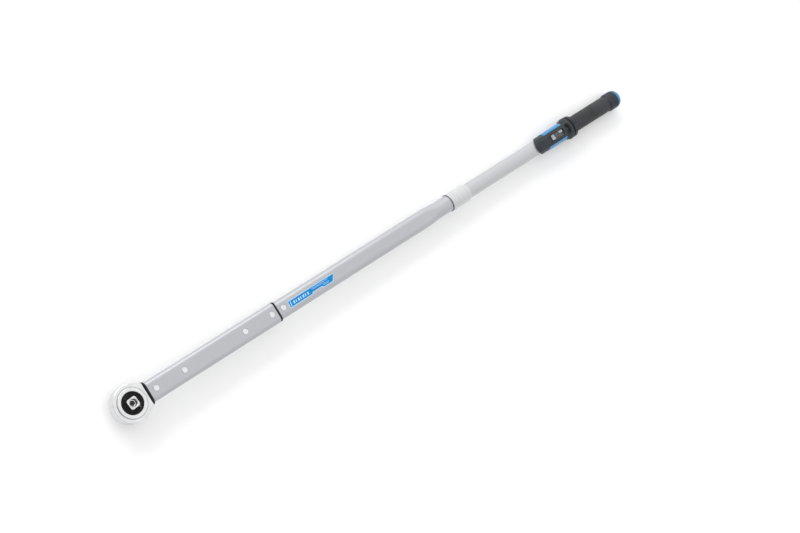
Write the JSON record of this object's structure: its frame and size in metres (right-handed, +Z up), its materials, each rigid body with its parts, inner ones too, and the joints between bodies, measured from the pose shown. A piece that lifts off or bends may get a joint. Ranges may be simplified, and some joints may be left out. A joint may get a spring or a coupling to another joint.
{
  "type": "torque wrench",
  "caption": "Long click-type torque wrench with a round ratchet head, push-through 3/4 inch square, oval tube, window scale and turning grip.",
  "frame": {"origin": "centre of the drive square at the plane where a socket seats under the ratchet wheel", "axes": "+X along the tube from the head to the grip, +Z up along the drive axis, out of the button side of the head; the drive square points to -Z"},
  "size_m": [1.2461, 0.0696, 0.0633],
  "materials": {
    "polished_steel": "satin chrome",
    "black_steel": "black oxide",
    "drive_steel": "ground and plated",
    "button_steel": "turned",
    "pin_steel": "flush, bright",
    "tube_lacquer": "silver-grey lacquer",
    "handle_tube": "satin",
    "collar_paint": "white lacquer",
    "black_rubber": "matt",
    "dark_trim": "matt",
    "slate_plastic": "fine spark texture",
    "grip_plastic": "fine texture",
    "blue_plastic": "gloss",
    "label_blue": "printed film",
    "white_plastic": "satin",
    "clear_plastic": "clear",
    "inner_steel": "machined",
    "spring_steel": "oil tempered",
    "bronze": "turned bronze"
  },
  "bodies": {
    "tube": {"front_tube": "tube_lacquer", "pivot_pin": "pin_steel", "stop_pin": "pin_steel", "connector_sleeve": "inner_steel", "connector_rivets": "pin_steel", "joint_ring": "black_rubber", "rear_tube": "tube_lacquer", "label_plate": "label_blue", "main_spring": "spring_steel", "rod_guide": "bronze", "neck_sleeve": "inner_steel", "collar_ring": "dark_trim", "collar": "collar_paint", "collar_screws": "inner_steel", "handle_tube": "handle_tube", "casing_upper": "slate_plastic", "casing_lower": "slate_plastic", "casing_screws": "inner_steel", "window_lens": "clear_plastic", "index_pointer": "dark_trim", "accent_left": "blue_plastic", "accent_right": "blue_plastic", "thrust_washers": "inner_steel", "thrust_balls": "inner_steel", "thrust_plug": "inner_steel", "plug_pin": "inner_steel"},
    "head": {"ratchet_head": "polished_steel", "head_seal": "black_rubber", "head_cover": "polished_steel", "cover_screws": "inner_steel", "pawl_springs": "spring_steel"},
    "pawl": {"pawl": "inner_steel"},
    "wheel": {"ratchet_wheel": "black_steel"},
    "square": {"drive_square": "drive_steel", "button_spring": "spring_steel"},
    "button": {"release_button": "button_steel"},
    "ball": {"detent_ball": "drive_steel"},
    "rod": {"thrust_rod": "inner_steel"},
    "link": {"toggle_link": "inner_steel"},
    "scale": {"spring_seat": "inner_steel", "push_rod": "inner_steel", "thrust_nut": "bronze", "scale_carrier": "white_plastic", "scale_marks": "dark_trim"},
    "grip": {"spindle": "inner_steel", "grip_sleeve": "grip_plastic", "grip_band": "dark_trim", "end_knob": "slate_plastic", "knob_screw": "inner_steel", "end_cap": "blue_plastic"},
    "lock": {"lock_ring": "slate_plastic"}
  },
  "joints": [
    {"name": "head_click", "type": "hinge", "parent": "tube", "child": "head", "pos_m": [0.0516, 0, 0.0165], "axis": [0, 0, 1], "range_deg": [0, 1.5], "stiffness_Nm_per_rad": 200},
    {"name": "rod_slide", "type": "slide", "parent": "tube", "child": "rod", "axis": [1, 0, 0], "range_m": [-0.0005, 0], "deforming": ["main_spring"]},
    {"name": "link_tilt", "type": "hinge", "parent": "rod", "child": "link", "pos_m": [0.252, 0, 0.0165], "axis": [0, 0, 1], "range_deg": [-10.3, 0]},
    {"name": "pawl_slide", "type": "slide", "parent": "head", "child": "pawl", "axis": [1, 0, 0], "range_m": [0, 0.0016], "stiffness_N_per_m": 500, "deforming": ["pawl_springs"]},
    {"name": "wheel_spin", "type": "hinge", "parent": "head", "child": "wheel", "pos_m": [0, 0, 0], "axis": [0, 0, 1], "continuous": true},
    {"name": "square_push", "type": "slide", "parent": "wheel", "child": "square", "axis": [0, 0, 1], "range_m": [0, 0.021]},
    {"name": "button_press", "type": "slide", "parent": "square", "child": "button", "axis": [0, 0, -1], "range_m": [0, 0.003], "stiffness_N_per_m": 800, "deforming": ["button_spring"]},
    {"name": "ball_retract", "type": "slide", "parent": "square", "child": "ball", "axis": [-0.0872, 0.9962, 0], "range_m": [0, 0.0009]},
    {"name": "grip_turn", "type": "hinge", "parent": "tube", "child": "grip", "pos_m": [1.12, 0, 0.0165], "axis": [1, 0, 0], "range_deg": [-1800, 1800]},
    {"name": "scale_slide", "type": "slide", "parent": "tube", "child": "scale", "axis": [1, 0, 0], "range_m": [-0.01, 0.01], "deforming": ["main_spring"]},
    {"name": "lock_slide", "type": "slide", "parent": "tube", "child": "lock", "axis": [1, 0, 0], "range_m": [0, 0.004]}
  ],
  "couplings": [
    {"joint": "link_tilt", "follows": "head_click", "ratio": -6.74},
    {"joint": "rod_slide", "follows": "head_click", "m_per_rad": -0.01772},
    {"joint": "ball_retract", "follows": "button_press", "ratio": 0.3},
    {"joint": "scale_slide", "follows": "grip_turn", "m_per_rad": 0.00031831}
  ]
}
